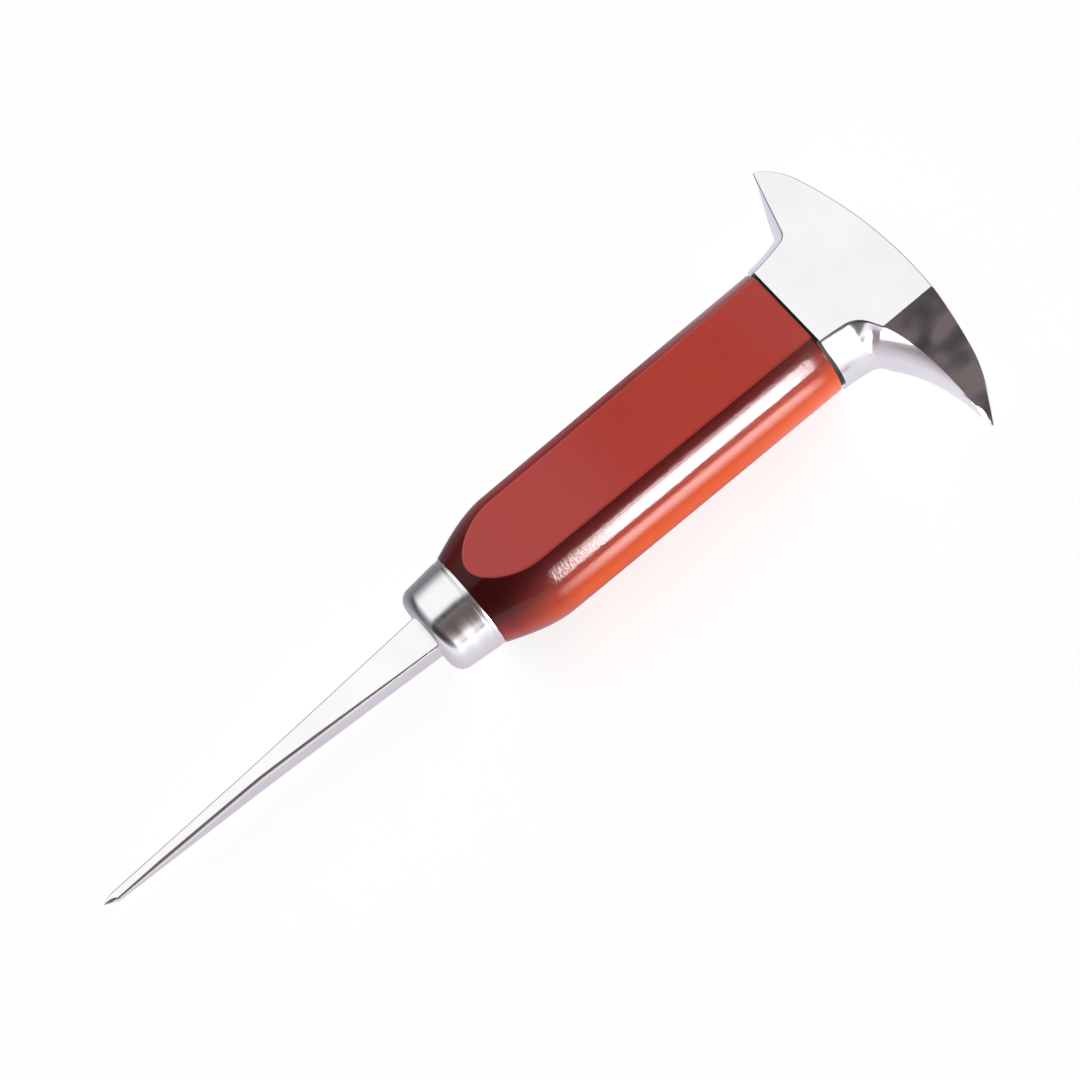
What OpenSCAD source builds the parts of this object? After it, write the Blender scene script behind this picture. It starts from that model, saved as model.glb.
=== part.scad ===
// Marking awl with a crescent striking head: a flat-sided lacquered grip between
// a rectangular tapered spike and a polished head with one long beak and one short spur.
// +X runs along the tool towards the head, +Z is up, and the beak points to -Y.
// The origin is the middle of the grip's lower flat, the face that it rests on.

/* [Grip] */
// Length of the grip from the ferrule to the head joint
grip_len = 73.8; // [50:0.1:110]
// Diameter of the grip where its shoulder ends
grip_d = 25.5; // [24:0.1:30]
// Diameter of the grip where it meets the head
grip_head_d = 26.1; // [24:0.1:30]
// Distance between the two flats of the grip
grip_flats = 21; // [18:0.1:23]
// Length of the rounded shoulder beside the ferrule
shoulder_len = 13; // [8:0.1:18]
// Diameter of the grip where it meets the ferrule's mouth
shoulder_d = 19; // [18.7:0.1:21]
// Rounding of the grip's edge at the head joint
grip_edge_r = 0.5; // [0.2:0.1:1]

/* [Ferrule] */
// Length of the ferrule outside the grip
ferrule_len = 9.9; // [7:0.1:14]
// Outer diameter of the ferrule at its mouth
ferrule_mouth_d = 18.6; // [18:0.1:20]
// Outer diameter of the ferrule beside its rounded end
ferrule_end_d = 17.5; // [17:0.1:18]
// Inner diameter of the ferrule
ferrule_bore_d = 16.4; // [15:0.1:16.6]
// Rounding of the ferrule's closed end
ferrule_round = 2.6; // [1:0.1:4]
// Thickness of the ferrule's closed end
ferrule_end_wall = 1.2; // [0.8:0.1:2]
// Width of the turned bead at the ferrule's mouth
bead_w = 0.9; // [0.5:0.1:1.5]
// Width of the groove behind the bead
groove_w = 0.3; // [0.2:0.1:0.6]
// Depth of the groove behind the bead
groove_depth = 0.15; // [0.1:0.05:0.3]

/* [Spike] */
// Length of the spike outside the ferrule
spike_len = 73; // [40:0.1:120]
// Width of the spike at the ferrule
spike_w = 7.6; // [5:0.1:9]
// Thickness of the spike at the ferrule
spike_t = 4.4; // [4.2:0.1:6]
// Distance from the ferrule over which the spike gets slightly thinner
relief_len = 8.5; // [4:0.5:12]
// Thickness of the long middle of the spike
blade_t = 4.3; // [3:0.1:4.4]
// Distance from the ferrule at which the slender stretch starts
taper_len = 38; // [20:0.5:45]
// Width of the spike where the slender stretch starts
neck_w = 3.2; // [2:0.1:4]
// Width of the spike where the point facet starts
point_w = 2; // [1.2:0.1:2.4]
// Thickness of the spike where the point facet starts
point_t = 1.2; // [0.3:0.1:1.6]
// Length of the point facet
point_len = 2.6; // [1.5:0.1:5]
// Diameter of the round tang
tang_d = 4; // [3:0.1:4.2]

/* [Head] */
// Distance between the head's two flat faces
head_flats = 19.2; // [16:0.1:20.5]
// Diameter of the neck's round sides
neck_d = 26.8; // [25.5:0.1:30]
// Height of the crown's peak above the neck's foot
crown_h = 21.15; // [19:0.05:30]
// Offset of the crown's peak from the axis, towards the beak
crown_peak = 8; // [0:0.5:12]
// Radius of the crown's long arc
crown_arc_r = 86; // [75:1:150]
// Reach of the beak from the axis
beak_reach = 38.3; // [34:0.1:46]
// Offset from the axis where the beak's bevels start
beak_crease = 14.8; // [13.5:0.1:18]
// Height of the beak's underside where its bevels start
beak_root_h = 9.75; // [8:0.05:11]
// How sharply the beak's underside sweeps up from its root (1 is straight)
beak_sweep = 3.5; // [1:0.5:5]
// How far the beak's underside bows out between its faces
beak_bow = 3.1; // [1:0.1:3.5]
// Offset from the axis where the crown bends down to the beak's tip
beak_bend_from = 27; // [22:0.5:28]
// Radius of that bend
beak_bend_r = 18; // [12:1:30]
// Slope of the crown at the beak's tip, in degrees
beak_bend_to = 31; // [20:0.5:35]
// Width of the small flat that blunts the beak's tip
beak_tip_edge = 0.3; // [0.2:0.1:0.8]
// Reach of the spur from the axis
spur_reach = 24.6; // [22:0.1:30]
// Offset from the axis of the spur's root
spur_root = 13; // [11.5:0.1:14]
// Height of the spur's underside at its root
spur_root_h = 8.8; // [8:0.05:10]
// How far the spur's underside bows out between its faces
spur_bow = 1.75; // [0.5:0.05:2.5]
// Offset from the axis where the crown bends down to the spur's edge
spur_bend_from = 18; // [16:0.5:20]
// Radius of that bend
spur_bend_r = 14; // [10:1:30]
// Steepest slope of that bend, in degrees
spur_bend_to = 50; // [30:1:60]
// Thickness of the spur's blunt edge
spur_tip_edge = 0.6; // [0.4:0.1:1.5]

/* [Joint] */
// Thickness of the black spacer between the grip and the head
spacer_t = 0.6; // [0.4:0.1:1.5]
// How far the spacer sits back from the grip's surface
spacer_inset = 0.5; // [0.3:0.1:0.8]
// Diameter of the head stud
stud_d = 6; // [5:0.1:6.4]
// Depth of the stud in the head
stud_in_head = 10; // [7:0.1:11]
// Length of the coupling nut
nut_len = 18; // [14:0.1:22]
// Outer diameter of the coupling nut
nut_d = 8.4; // [8:0.1:9]
// Depth of the coupling nut's end below the grip's head end
nut_depth = 44; // [38:0.1:46]
// Diameter of the two dowel pins
dowel_d = 3; // [2:0.1:3.2]
// Length of each dowel pin
dowel_len = 12; // [9:0.1:14]
// Distance of each dowel pin from the axis
dowel_offset = 8; // [7:0.1:8.5]

/* [Hidden] */

round_fn = 96;
glue_gap = 0.05;      // radial gap of every glued or screwed fit
hole_spare = 1;       // spare depth of a blind hole past what it holds
washer_t = 1;         // thrust washer inside the ferrule
tip_half = 0.3;       // half thickness of the head at the tips of its beak and spur
cut = 1;              // how far a cutter runs past the face that it opens

grip_end = -grip_len / 2;             // ferrule end of the grip
joint_x = grip_len / 2;               // head end of the grip
axis_z = grip_flats / 2;              // tool axis above the lower flat
head_x = joint_x + spacer_t;          // lower face of the head's neck
ferrule_x = grip_end - ferrule_len;   // outer face of the ferrule's closed end
washer_x = ferrule_x + ferrule_end_wall;
tenon_x = washer_x + washer_t;        // end of the grip's tenon
tenon_d = ferrule_bore_d - 2 * glue_gap;
half_face = head_flats / 2;
nut_x = joint_x - nut_depth;          // ferrule end of the coupling nut
nut_mid = nut_x + nut_len / 2;        // the tang and the stud meet here with a gap
thread_gap = 1;                       // free length between the tang and the stud
tang_end = nut_mid - thread_gap / 2;
stud_start = nut_mid + thread_gap / 2;
stud_end = head_x + stud_in_head;
tang_hole_d = tang_d + 2 * glue_gap;
stud_hole_d = stud_d + 2 * glue_gap;
dowel_hole_d = dowel_d + 2 * glue_gap;
dowel_start = joint_x + spacer_t / 2 - dowel_len / 2;
dowel_end = dowel_start + dowel_len;

// A shape drawn along +Z is laid along +X on the tool's axis, starting at x.
module along(x) {
    translate([x, 0, axis_z]) rotate([0, 90, 0]) children();
}

// Round bar or hole on the tool's axis between two stations.
module bar(from, to, d) {
    along(from) cylinder(d = d, h = to - from, $fn = round_fn);
}

// Both dowel pins, or their holes, between two stations.
module dowel_pair(from, to, d) {
    for (side = [-1, 1])
        translate([0, side * dowel_offset, 0]) bar(from, to, d);
}

// ---- spike ----

// The larger of two lengths, with a smooth change from one to the other.
function soft_max(a, b, ease) =
    let (share = max(0, min(1, 0.5 + (a - b) / (2 * ease))))
    b + (a - b) * share + ease * share * (1 - share);

// Width of the spike at a distance from the ferrule: one even taper down to the slender
// stretch, then a slower one to the point facet.
function spike_width(dist) = soft_max(
    spike_w + (neck_w - spike_w) * dist / taper_len,
    neck_w + (point_w - neck_w) * (dist - taper_len) / (facet_start - taper_len),
    taper_ease);

// Thickness of the spike: nearly even to the slender stretch, then an even wedge.
function spike_thick(dist) = dist < relief_len
    ? spike_t + (blade_t - spike_t) * dist / relief_len
    : blade_t + (point_t - blade_t) * max(0, dist - taper_len) / (facet_start - taper_len);

facet_start = spike_len - point_len;
taper_ease = 0.3;     // how softly the two tapers join
ease_span = taper_ease / ((spike_w - neck_w) / taper_len
    - (neck_w - point_w) / (facet_start - taper_len));
ease_steps = 6;
spike_stations = concat(
    [0, relief_len],
    [for (i = [0 : ease_steps]) taper_len + ease_span * (2 * i / ease_steps - 1)],
    [facet_start]);
point_size = 0.16;    // width and thickness left at the very point

// One rectangular ring of the spike: distance from the ferrule, width, thickness, lift.
function ring(dist, w, t, lift = 0) = [
    for (c = [[-1, -1], [-1, 1], [1, 1], [1, -1]])
        [ferrule_x - dist, c[0] * w / 2, axis_z + lift + c[1] * t / 2]];

// A solid skinned over rings of n corners, which run anticlockwise seen from the last ring.
module skin(rings) {
    n = len(rings[0]);
    last = len(rings) - 1;
    sides = [for (k = [0 : last - 1], i = [0 : n - 1], half = [0, 1])
        let (a = k * n + i, b = k * n + (i + 1) % n)
        half == 0 ? [a, a + n, b] : [b, a + n, b + n]];
    first_cap = [for (i = [0 : n - 1]) i];
    last_cap = [for (i = [n - 1 : -1 : 0]) last * n + i];
    polyhedron([for (r = rings, p = r) p], concat([first_cap], sides, [last_cap]),
               convexity = 6);
}

// The point facet slopes up from below, so the point lies in the upper face.
module spike_body() {
    shoulder = ring(-ferrule_end_wall, spike_w, spike_t);
    body = [for (d = spike_stations) ring(d, spike_width(d), spike_thick(d))];
    point = ring(spike_len, point_size, point_size, (point_t - point_size) / 2);
    skin(concat([shoulder], body, [point]));
}

module awl_blade() {
    color([0.80, 0.80, 0.82]) union() {
        spike_body();
        bar(washer_x - ferrule_end_wall / 2, tang_end, tang_d);
    }
}

// ---- ferrule ----

// Outline of the cup: distance from its closed end, radius.
function ferrule_outline() =
    let (mouth = ferrule_mouth_d / 2, end = ferrule_end_d / 2, bore = ferrule_bore_d / 2,
         groove_to = ferrule_len - bead_w, groove_from = groove_to - groove_w)
    concat(
        [[0, 0]],
        [for (a = [0 : 10 : 90])
            [ferrule_round * (1 - cos(a)), end - ferrule_round + ferrule_round * sin(a)]],
        [[groove_from, mouth], [groove_from, mouth - groove_depth],
         [groove_to, mouth - groove_depth], [groove_to, mouth], [ferrule_len, mouth],
         [ferrule_len, bore], [ferrule_end_wall, bore], [ferrule_end_wall, 0]]);

module ferrule() {
    slot_w = spike_w + 2 * glue_gap;
    slot_t = spike_t + 2 * glue_gap;
    color([0.72, 0.71, 0.70]) difference() {
        along(ferrule_x) rotate_extrude($fn = round_fn)
            polygon([for (p = ferrule_outline()) [p[1], p[0]]]);
        translate([ferrule_x - cut, -slot_w / 2, axis_z - slot_t / 2])
            cube([ferrule_end_wall + 2 * cut, slot_w, slot_t]);
    }
}

module thrust_washer() {
    color([0.55, 0.55, 0.57]) difference() {
        bar(washer_x, washer_x + washer_t, tenon_d);
        bar(washer_x - cut, washer_x + washer_t + cut, tang_hole_d);
    }
}

// ---- grip ----

// Radius of the grip at a distance from its ferrule end: a quarter sine shoulder, then a
// slow swell towards the head.
function grip_r(dist) = dist < shoulder_len
    ? shoulder_d / 2 + (grip_d - shoulder_d) / 2 * sin(90 * dist / shoulder_len)
    : grip_d / 2 + (grip_head_d - grip_d) / 2 * (dist - shoulder_len) / (grip_len - shoulder_len);

shoulder_steps = 14;

function grip_outline() = concat(
    [[tenon_x - grip_end, 0], [tenon_x - grip_end, tenon_d / 2], [0, tenon_d / 2]],
    [for (i = [0 : shoulder_steps])
        let (dist = shoulder_len * i / shoulder_steps) [dist, grip_r(dist)]],
    [for (a = [0 : 30 : 90])
        [grip_len - grip_edge_r * (1 - sin(a)), grip_head_d / 2 - grip_edge_r * (1 - cos(a))]],
    [[grip_len, 0]]);

module handle_grip() {
    span = grip_len + ferrule_len;
    color([0.68, 0.22, 0.17]) difference() {
        intersection() {
            along(grip_end) rotate_extrude($fn = round_fn)
                polygon([for (p = grip_outline()) [p[1], p[0]]]);
            translate([grip_end - ferrule_len, -grip_head_d, 0])
                cube([span, 2 * grip_head_d, grip_flats]);
        }
        bar(tenon_x - cut, nut_x + cut, tang_hole_d);
        bar(nut_x, joint_x + cut, nut_d + 2 * glue_gap);
        dowel_pair(dowel_start - hole_spare, joint_x + cut, dowel_hole_d);
    }
}

// ---- joint between the grip and the head ----

module neck_spacer() {
    spacer_flats = head_flats - 2 * spacer_inset;
    color([0.05, 0.05, 0.05]) difference() {
        intersection() {
            bar(joint_x, head_x, grip_head_d - 2 * spacer_inset);
            translate([joint_x - cut, -grip_head_d, axis_z - spacer_flats / 2])
                cube([spacer_t + 2 * cut, 2 * grip_head_d, spacer_flats]);
        }
        bar(joint_x - cut, head_x + cut, stud_hole_d);
        dowel_pair(joint_x - cut, head_x + cut, dowel_hole_d);
    }
}

module head_stud() {
    color([0.60, 0.60, 0.62]) bar(stud_start, stud_end, stud_d);
}

module coupling_nut() {
    color([0.62, 0.60, 0.52]) difference() {
        bar(nut_x, nut_x + nut_len, nut_d);
        bar(nut_x - cut, nut_mid, tang_hole_d);
        bar(nut_mid, nut_x + nut_len + cut, stud_hole_d);
    }
}

module dowel_pins() {
    color([0.70, 0.70, 0.72]) dowel_pair(dowel_start, dowel_end, dowel_d);
}

// ---- crescent head ----
// The head is a stack of outlines across its thickness. An outline is drawn in the plane
// of the flat faces as [offset from the axis, height above the neck's foot].

side_steps = 4;       // up the neck's side
corner_steps = 5;     // round the inside corner under each wing
wing_steps = 10;      // along each underside
crown_steps = 24;     // over the crown
layer_steps = 6;      // outlines in each half of the thickness
beak_flare = 0.9;     // how far the neck flares towards the beak
spur_flare = 1.5;     // how far the neck flares towards the spur
flare_power = 1.5;    // how late that flare starts
beak_corners = [2.6, 0.8];   // inside corner's size at the faces and halfway between them
spur_corners = [1.2, 1];
beak_fade = 1.6;      // how fast the bow under the beak fades towards the tip

// A wing is [side, reach, root offset, root height, sweep, bow, tip edge, half thickness
// at the tip, flare of the neck, corner size at the faces, corner size halfway].
// Side 1 is the beak, -1 the spur. The beak is bevelled to a point, the spur keeps its width.
beak = concat([1, beak_reach, beak_crease, beak_root_h, beak_sweep, beak_bow, beak_tip_edge,
               tip_half, beak_flare], beak_corners);
spur = concat([-1, spur_reach, spur_root, spur_root_h, 1, spur_bow, spur_tip_edge,
               half_face, spur_flare], spur_corners);

// Fall of an arc of radius r that starts level, at a distance from its start.
function arc_fall(r, dist) = r - sqrt(r * r - dist * dist);

// Height of the crown: one long arc that bends down, then runs straight, at each end.
function crown_at(u) = u >= crown_peak
    ? bent_crown(u - crown_peak, beak_bend_from - crown_peak, beak_bend_r, beak_bend_to)
    : bent_crown(crown_peak - u, crown_peak + spur_bend_from, spur_bend_r, spur_bend_to);

function bent_crown(dist, bend_from, bend_r, bend_to) =
    let (slope_from = asin(bend_from / crown_arc_r),
         bend_end = bend_from + bend_r * (sin(bend_to) - sin(slope_from)),
         bend_h = crown_h - arc_fall(crown_arc_r, bend_from),
         slope = asin(min(sin(bend_to), sin(slope_from) + max(0, dist - bend_from) / bend_r)))
    dist < bend_from ? crown_h - arc_fall(crown_arc_r, dist)
    : bend_h - bend_r * (cos(slope_from) - cos(slope)) - max(0, dist - bend_end) * tan(slope);

// Share of the way from a wing's root to its tip.
function along_wing(wing, u) = (u - wing[2]) / (wing[1] - wing[2]);

// Half thickness of a wing at an offset, and the offset at which it ends in the layer v.
function wing_half(wing, u) = half_face - (half_face - wing[7]) * along_wing(wing, u);
function wing_end(wing, v) = wing[7] == half_face ? wing[1]
    : wing[1] - (wing[1] - wing[2]) * max(0, abs(v) - wing[7]) / (half_face - wing[7]);

// Height of a wing's underside along its face: it sweeps up from the root to the tip.
function tip_h(wing) = crown_at(wing[0] * wing[1]) - wing[6];
function root_slope(wing) = wing[4] * (tip_h(wing) - wing[3]) / (wing[1] - wing[2]);
function under_h(wing, u) = u < wing[2]
    ? wing[3] - root_slope(wing) * (wing[2] - u)
    : tip_h(wing) - (tip_h(wing) - wing[3]) * pow(1 - along_wing(wing, u), wing[4]);

// How far the underside bows out at an offset in the layer v: most halfway between the faces.
function under_bow(wing, u, v) =
    let (t = max(0, along_wing(wing, u)))
    wing[5] * (wing[7] < half_face ? pow(max(0, 1 - t), beak_fade) : 1 - t * t)
    * (1 - pow(v / wing_half(wing, max(u, wing[2])), 2));

// Side of the neck, inside corner and underside of one wing in the layer v, from the neck's
// foot to the wing's end.
function wing_side(wing, v) =
    let (neck = sqrt(pow(neck_d / 2, 2) - v * v),
         halfway = 1 - pow(v / half_face, 2),
         corner_u = neck + wing[8],
         corner_h = under_h(wing, corner_u) - under_bow(wing, corner_u, v),
         r = wing[9] + (wing[10] - wing[9]) * halfway,
         from = corner_u + r,
         end = wing_end(wing, v),
         side_h = corner_h - r,
         p0 = [corner_u - wing[8] * (1 - pow(side_h / corner_h, flare_power)), side_h],
         p2 = [from, under_h(wing, from) - under_bow(wing, from, v)])
    concat(
        [for (i = [0 : side_steps - 1]) let (h = side_h * i / side_steps)
            [neck + wing[8] * pow(h / corner_h, flare_power), h]],
        [for (i = [0 : corner_steps - 1]) let (t = i / corner_steps)
            (1 - t) * (1 - t) * p0 + 2 * t * (1 - t) * [corner_u, corner_h] + t * t * p2],
        [for (i = [0 : wing_steps]) let (u = from + (end - from) * i / wing_steps)
            [u, under_h(wing, u) - under_bow(wing, u, v)]]);

function reversed(list) = [for (i = [len(list) - 1 : -1 : 0]) list[i]];

// Whole outline of the layer v, from the neck's foot round the beak, over the crown and
// back round the spur.
function layer(v) =
    let (from = wing_end(beak, v), to = -wing_end(spur, v))
    concat(
        wing_side(beak, v),
        [for (i = [0 : crown_steps]) let (u = from + (to - from) * i / crown_steps)
            [u, crown_at(u)]],
        [for (p = reversed(wing_side(spur, v))) [-p[0], p[1]]]);

layer_heights = concat(
    [for (i = [0 : layer_steps]) -half_face + (half_face - tip_half) * i / layer_steps],
    [for (i = [0 : layer_steps]) tip_half + (half_face - tip_half) * i / layer_steps]);

module crescent_head() {
    color([0.86, 0.86, 0.87]) difference() {
        skin([for (v = layer_heights)
            [for (p = layer(v)) [head_x + p[1], -p[0], axis_z + v]]]);
        bar(head_x - cut, stud_end + hole_spare, stud_hole_d);
        dowel_pair(head_x - cut, dowel_end + hole_spare, dowel_hole_d);
    }
}

awl_blade();
ferrule();
thrust_washer();
handle_grip();
neck_spacer();
crescent_head();
head_stud();
coupling_nut();
dowel_pins();
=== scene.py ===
import math

import bmesh
import bpy
from mathutils import Matrix, Vector


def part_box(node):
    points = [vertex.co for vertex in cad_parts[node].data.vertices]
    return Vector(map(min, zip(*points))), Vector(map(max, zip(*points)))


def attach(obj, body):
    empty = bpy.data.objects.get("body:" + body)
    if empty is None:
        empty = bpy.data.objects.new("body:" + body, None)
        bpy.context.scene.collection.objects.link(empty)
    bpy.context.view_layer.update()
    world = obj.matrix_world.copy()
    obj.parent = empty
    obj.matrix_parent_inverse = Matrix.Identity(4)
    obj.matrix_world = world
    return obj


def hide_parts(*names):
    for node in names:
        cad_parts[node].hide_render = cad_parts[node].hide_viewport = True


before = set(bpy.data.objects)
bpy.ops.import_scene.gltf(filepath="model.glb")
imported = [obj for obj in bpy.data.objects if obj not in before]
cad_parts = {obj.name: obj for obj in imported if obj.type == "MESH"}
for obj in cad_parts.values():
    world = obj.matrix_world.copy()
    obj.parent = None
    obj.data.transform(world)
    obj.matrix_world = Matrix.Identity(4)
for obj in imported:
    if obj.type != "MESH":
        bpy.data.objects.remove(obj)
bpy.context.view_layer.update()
MM = 0.001

# ---------------------------------------------------------------- places from the frame

grip_low, grip_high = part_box("handle_grip")
ferrule_low, ferrule_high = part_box("ferrule")
head_low, head_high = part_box("crescent_head")
blade_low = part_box("awl_blade")[0]

AXIS_Z = (grip_low.z + grip_high.z) / 2 / MM      # height of the tool's axis, in mm
GRIP_FROM = ferrule_high.x / MM                   # ferrule end of the visible grip
GRIP_TO = grip_high.x / MM                        # head end of the grip
HALF_FLATS = (grip_high.z - grip_low.z) / 2 / MM  # axis to a flat of the grip
GRIP_END_R = (grip_high.y - grip_low.y) / 2 / MM  # radius of the grip at the head
FOOT_X = head_low.x / MM                          # foot of the head's neck
HALF_FACE = (head_high.z - head_low.z) / 2 / MM   # axis to a flat face of the head
BEAK_REACH = -head_low.y / MM                     # axis to the beak's tip
SPUR_REACH = head_high.y / MM                     # axis to the spur's end
FERRULE_FROM = ferrule_low.x / MM                 # spike end of the ferrule
SPIKE_LEN = FERRULE_FROM - blade_low.x / MM       # length of the spike outside the ferrule
GRIP_R = 12.75           # radius of the grip where its shoulder ends
MOUTH_R = 9.5            # radius of the grip at the ferrule's mouth
SHOULDER = 13.0          # length of the rounded shoulder
GRIP_EDGE = 0.5          # rounding of the grip at the head end
FLAT_EASE = 0.12         # softening of the flats' edges

# ---------------------------------------------------------------- camera

VIEW_LENS = 168.3        # mm
VIEW_SENSOR = 36         # mm, width of the sensor
VIEW_NEAR = 0.01         # metres in front of the camera where the picture starts
VIEW_DISTANCE = 0.8826   # metres from the point on the axis that the camera looks at
VIEW_PITCH = 4.5         # degrees that the spike's point leans towards the camera
VIEW_ROLL = 26.4         # degrees that the flats turn away from the camera
VIEW_SLANT = 39.75       # degrees of the axis above the picture's horizontal
VIEW_STATION = -21.0     # mm along the axis of the point that the camera looks at
VIEW_ASIDE = 0.52        # mm from the axis to that point


def camera_axes():
    """Right, up and back of the camera and a line across the tool, in the row frame."""
    pitch, roll, slant = (math.radians(a) for a in (VIEW_PITCH, VIEW_ROLL, VIEW_SLANT))
    back = Vector((-math.sin(pitch), -math.cos(pitch) * math.sin(roll),
                   math.cos(pitch) * math.cos(roll)))
    along = Vector((1, 0, 0)) - back.x * back
    along.normalize()
    across = back.cross(along)
    right = math.cos(slant) * along - math.sin(slant) * across
    up = math.sin(slant) * along + math.cos(slant) * across
    return right, up, back, across


def make_camera():
    right, up, back, across = camera_axes()
    target = Vector((VIEW_STATION, 0, AXIS_Z)) * MM + across * VIEW_ASIDE * MM
    data = bpy.data.cameras.new("camera")
    data.lens = VIEW_LENS
    data.sensor_width = VIEW_SENSOR
    data.clip_start = VIEW_NEAR
    camera = bpy.data.objects.new("camera", data)
    bpy.context.collection.objects.link(camera)
    place = Matrix((right, up, back)).transposed().to_4x4()
    place.translation = target + back * VIEW_DISTANCE
    camera.matrix_world = place
    bpy.context.scene.camera = camera


make_camera()


# ---------------------------------------------------------------- mesh helpers

WELD = 1e-7              # metres between points that are one
SHARP = 32               # degrees between faces that meet in a crisp edge


def finish_mesh(name, points, faces, slot_name, material, nodes, sharp=SHARP):
    """A piece from points in mm in the row frame, which stands for CAD nodes."""
    mesh = bpy.data.meshes.new(name)
    mesh.from_pydata([Vector(p) * MM for p in points], [], faces)
    bm = bmesh.new()
    bm.from_mesh(mesh)
    bmesh.ops.remove_doubles(bm, verts=bm.verts, dist=WELD)
    bmesh.ops.recalc_face_normals(bm, faces=bm.faces)
    bm.to_mesh(mesh)
    bm.free()
    mesh.shade_smooth()
    mesh.set_sharp_from_angle(angle=math.radians(sharp))
    piece = bpy.data.objects.new(name, mesh)
    bpy.context.collection.objects.link(piece)
    mesh.materials.append(material)
    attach(piece, "root")
    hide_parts(*nodes)
    return piece


def skin(rings):
    """Points and faces of a solid skinned over rings with the same number of points."""
    n = len(rings[0])
    points = [p for ring in rings for p in ring]
    faces = []
    for k in range(len(rings) - 1):
        for i in range(n):
            a, b = k * n + i, k * n + (i + 1) % n
            faces.append((a, b, b + n, a + n))
    last = (len(rings) - 1) * n
    faces.append(tuple(range(n - 1, -1, -1)))
    faces.append(tuple(range(last, last + n)))
    return points, faces


def turned(profile, segments, x_from):
    """Rings of a shape turned about the tool's axis from (station, radius) pairs."""
    rings = []
    for station, radius in profile:
        rings.append([(x_from + station,
                       radius * math.cos(2 * math.pi * i / segments),
                       AXIS_Z + radius * math.sin(2 * math.pi * i / segments))
                      for i in range(segments)])
    return rings


def arc(cx, cy, radius, start, end, steps):
    """Points of an arc, angles in degrees."""
    return [(cx + radius * math.cos(math.radians(start + (end - start) * i / steps)),
             cy + radius * math.sin(math.radians(start + (end - start) * i / steps)))
            for i in range(steps + 1)]


# ---------------------------------------------------------------- material helpers

NOISE_SPAN = (0.3, 0.7)  # nearly all of a noise texture's values lie between these


def new_material(name):
    material = bpy.data.materials.new(name)
    material.use_nodes = True
    nodes = material.node_tree.nodes
    return material, nodes, material.node_tree.links, nodes["Principled BSDF"]


def add(nodes, kind, **inputs):
    """A node with some of its inputs set; names use _ for a space."""
    node = nodes.new(kind)
    for key, value in inputs.items():
        node.inputs[key.replace("_", " ")].default_value = value
    return node


def solid(nodes, color):
    node = nodes.new("ShaderNodeRGB")
    node.outputs["Color"].default_value = (*color, 1)
    return node.outputs["Color"]


def axes_of(nodes, links, vector):
    """The X, Y and Z of a vector."""
    split = nodes.new("ShaderNodeSeparateXYZ")
    links.new(vector, split.inputs["Vector"])
    return split.outputs


def place_of(nodes, links, kind="Object"):
    """The X, Y and Z of the place that is shaded."""
    return axes_of(nodes, links, nodes.new("ShaderNodeTexCoord").outputs[kind])


def noise_of(nodes, links, stretch, detail, scale=1.0, roughness=0.5):
    """Noise in object space, stretched by a factor along each axis."""
    coords = nodes.new("ShaderNodeTexCoord")
    mapping = add(nodes, "ShaderNodeMapping", Scale=stretch)
    noise = add(nodes, "ShaderNodeTexNoise", Scale=scale, Detail=detail, Roughness=roughness)
    links.new(coords.outputs["Object"], mapping.inputs["Vector"])
    links.new(mapping.outputs["Vector"], noise.inputs["Vector"])
    return noise.outputs["Fac"]


def even_noise(nodes, links, scale, detail):
    """Noise in object space that is the same along every axis."""
    return noise_of(nodes, links, (1, 1, 1), detail, scale)


def remap(nodes, links, source, low, high, to_low=0.0, to_high=1.0):
    """A value carried from one span to another, and kept inside it."""
    node = add(nodes, "ShaderNodeMapRange", From_Min=low, From_Max=high,
               To_Min=to_low, To_Max=to_high)
    links.new(source, node.inputs["Value"])
    return node.outputs["Result"]


def bump_of(nodes, links, height, strength, distance, base=None):
    """A bump, on top of another one if there is a base; the strength can be a socket."""
    node = add(nodes, "ShaderNodeBump", Distance=distance)
    if isinstance(strength, (int, float)):
        node.inputs["Strength"].default_value = strength
    else:
        links.new(strength, node.inputs["Strength"])
    links.new(height, node.inputs["Height"])
    if base is not None:
        links.new(base, node.inputs["Normal"])
    return node.outputs["Normal"]


def ramp_of(nodes, links, source, stops, interpolation="EASE"):
    """Colours along a value from 0 to 1, as (position, colour) pairs."""
    ramp = nodes.new("ShaderNodeValToRGB")
    ramp.color_ramp.interpolation = interpolation
    elements = ramp.color_ramp.elements
    while len(elements) < len(stops):
        elements.new(0.5)
    for element, (position, color) in zip(elements, stops):
        element.position = position
        element.color = (*color, 1)
    links.new(source, ramp.inputs["Fac"])
    return ramp.outputs["Color"]


def greys(stops):
    """Stops of a ramp from (position, brightness) pairs."""
    return [(position, (value, value, value)) for position, value in stops]


def maths(nodes, links, operation, first, second=None):
    """One step of arithmetic; the operands are sockets or numbers."""
    node = nodes.new("ShaderNodeMath")
    node.operation = operation
    for slot, operand in enumerate((first, second)):
        if isinstance(operand, (int, float)):
            node.inputs[slot].default_value = operand
        elif operand is not None:
            links.new(operand, node.inputs[slot])
    return node.outputs["Value"]


def mix_colors(nodes, links, factor, a, b, blend="MIX"):
    """Two colours blended; the factor is a socket or a number."""
    node = nodes.new("ShaderNodeMix")
    node.data_type = "RGBA"
    node.blend_type = blend
    colors = [socket for socket in node.inputs if socket.type == "RGBA"]
    if isinstance(factor, float):
        node.inputs["Factor"].default_value = factor
    else:
        links.new(factor, node.inputs["Factor"])
    links.new(a, colors[0])
    links.new(b, colors[1])
    return [socket for socket in node.outputs if socket.type == "RGBA"][0]


# ---------------------------------------------------------------- steel

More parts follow.
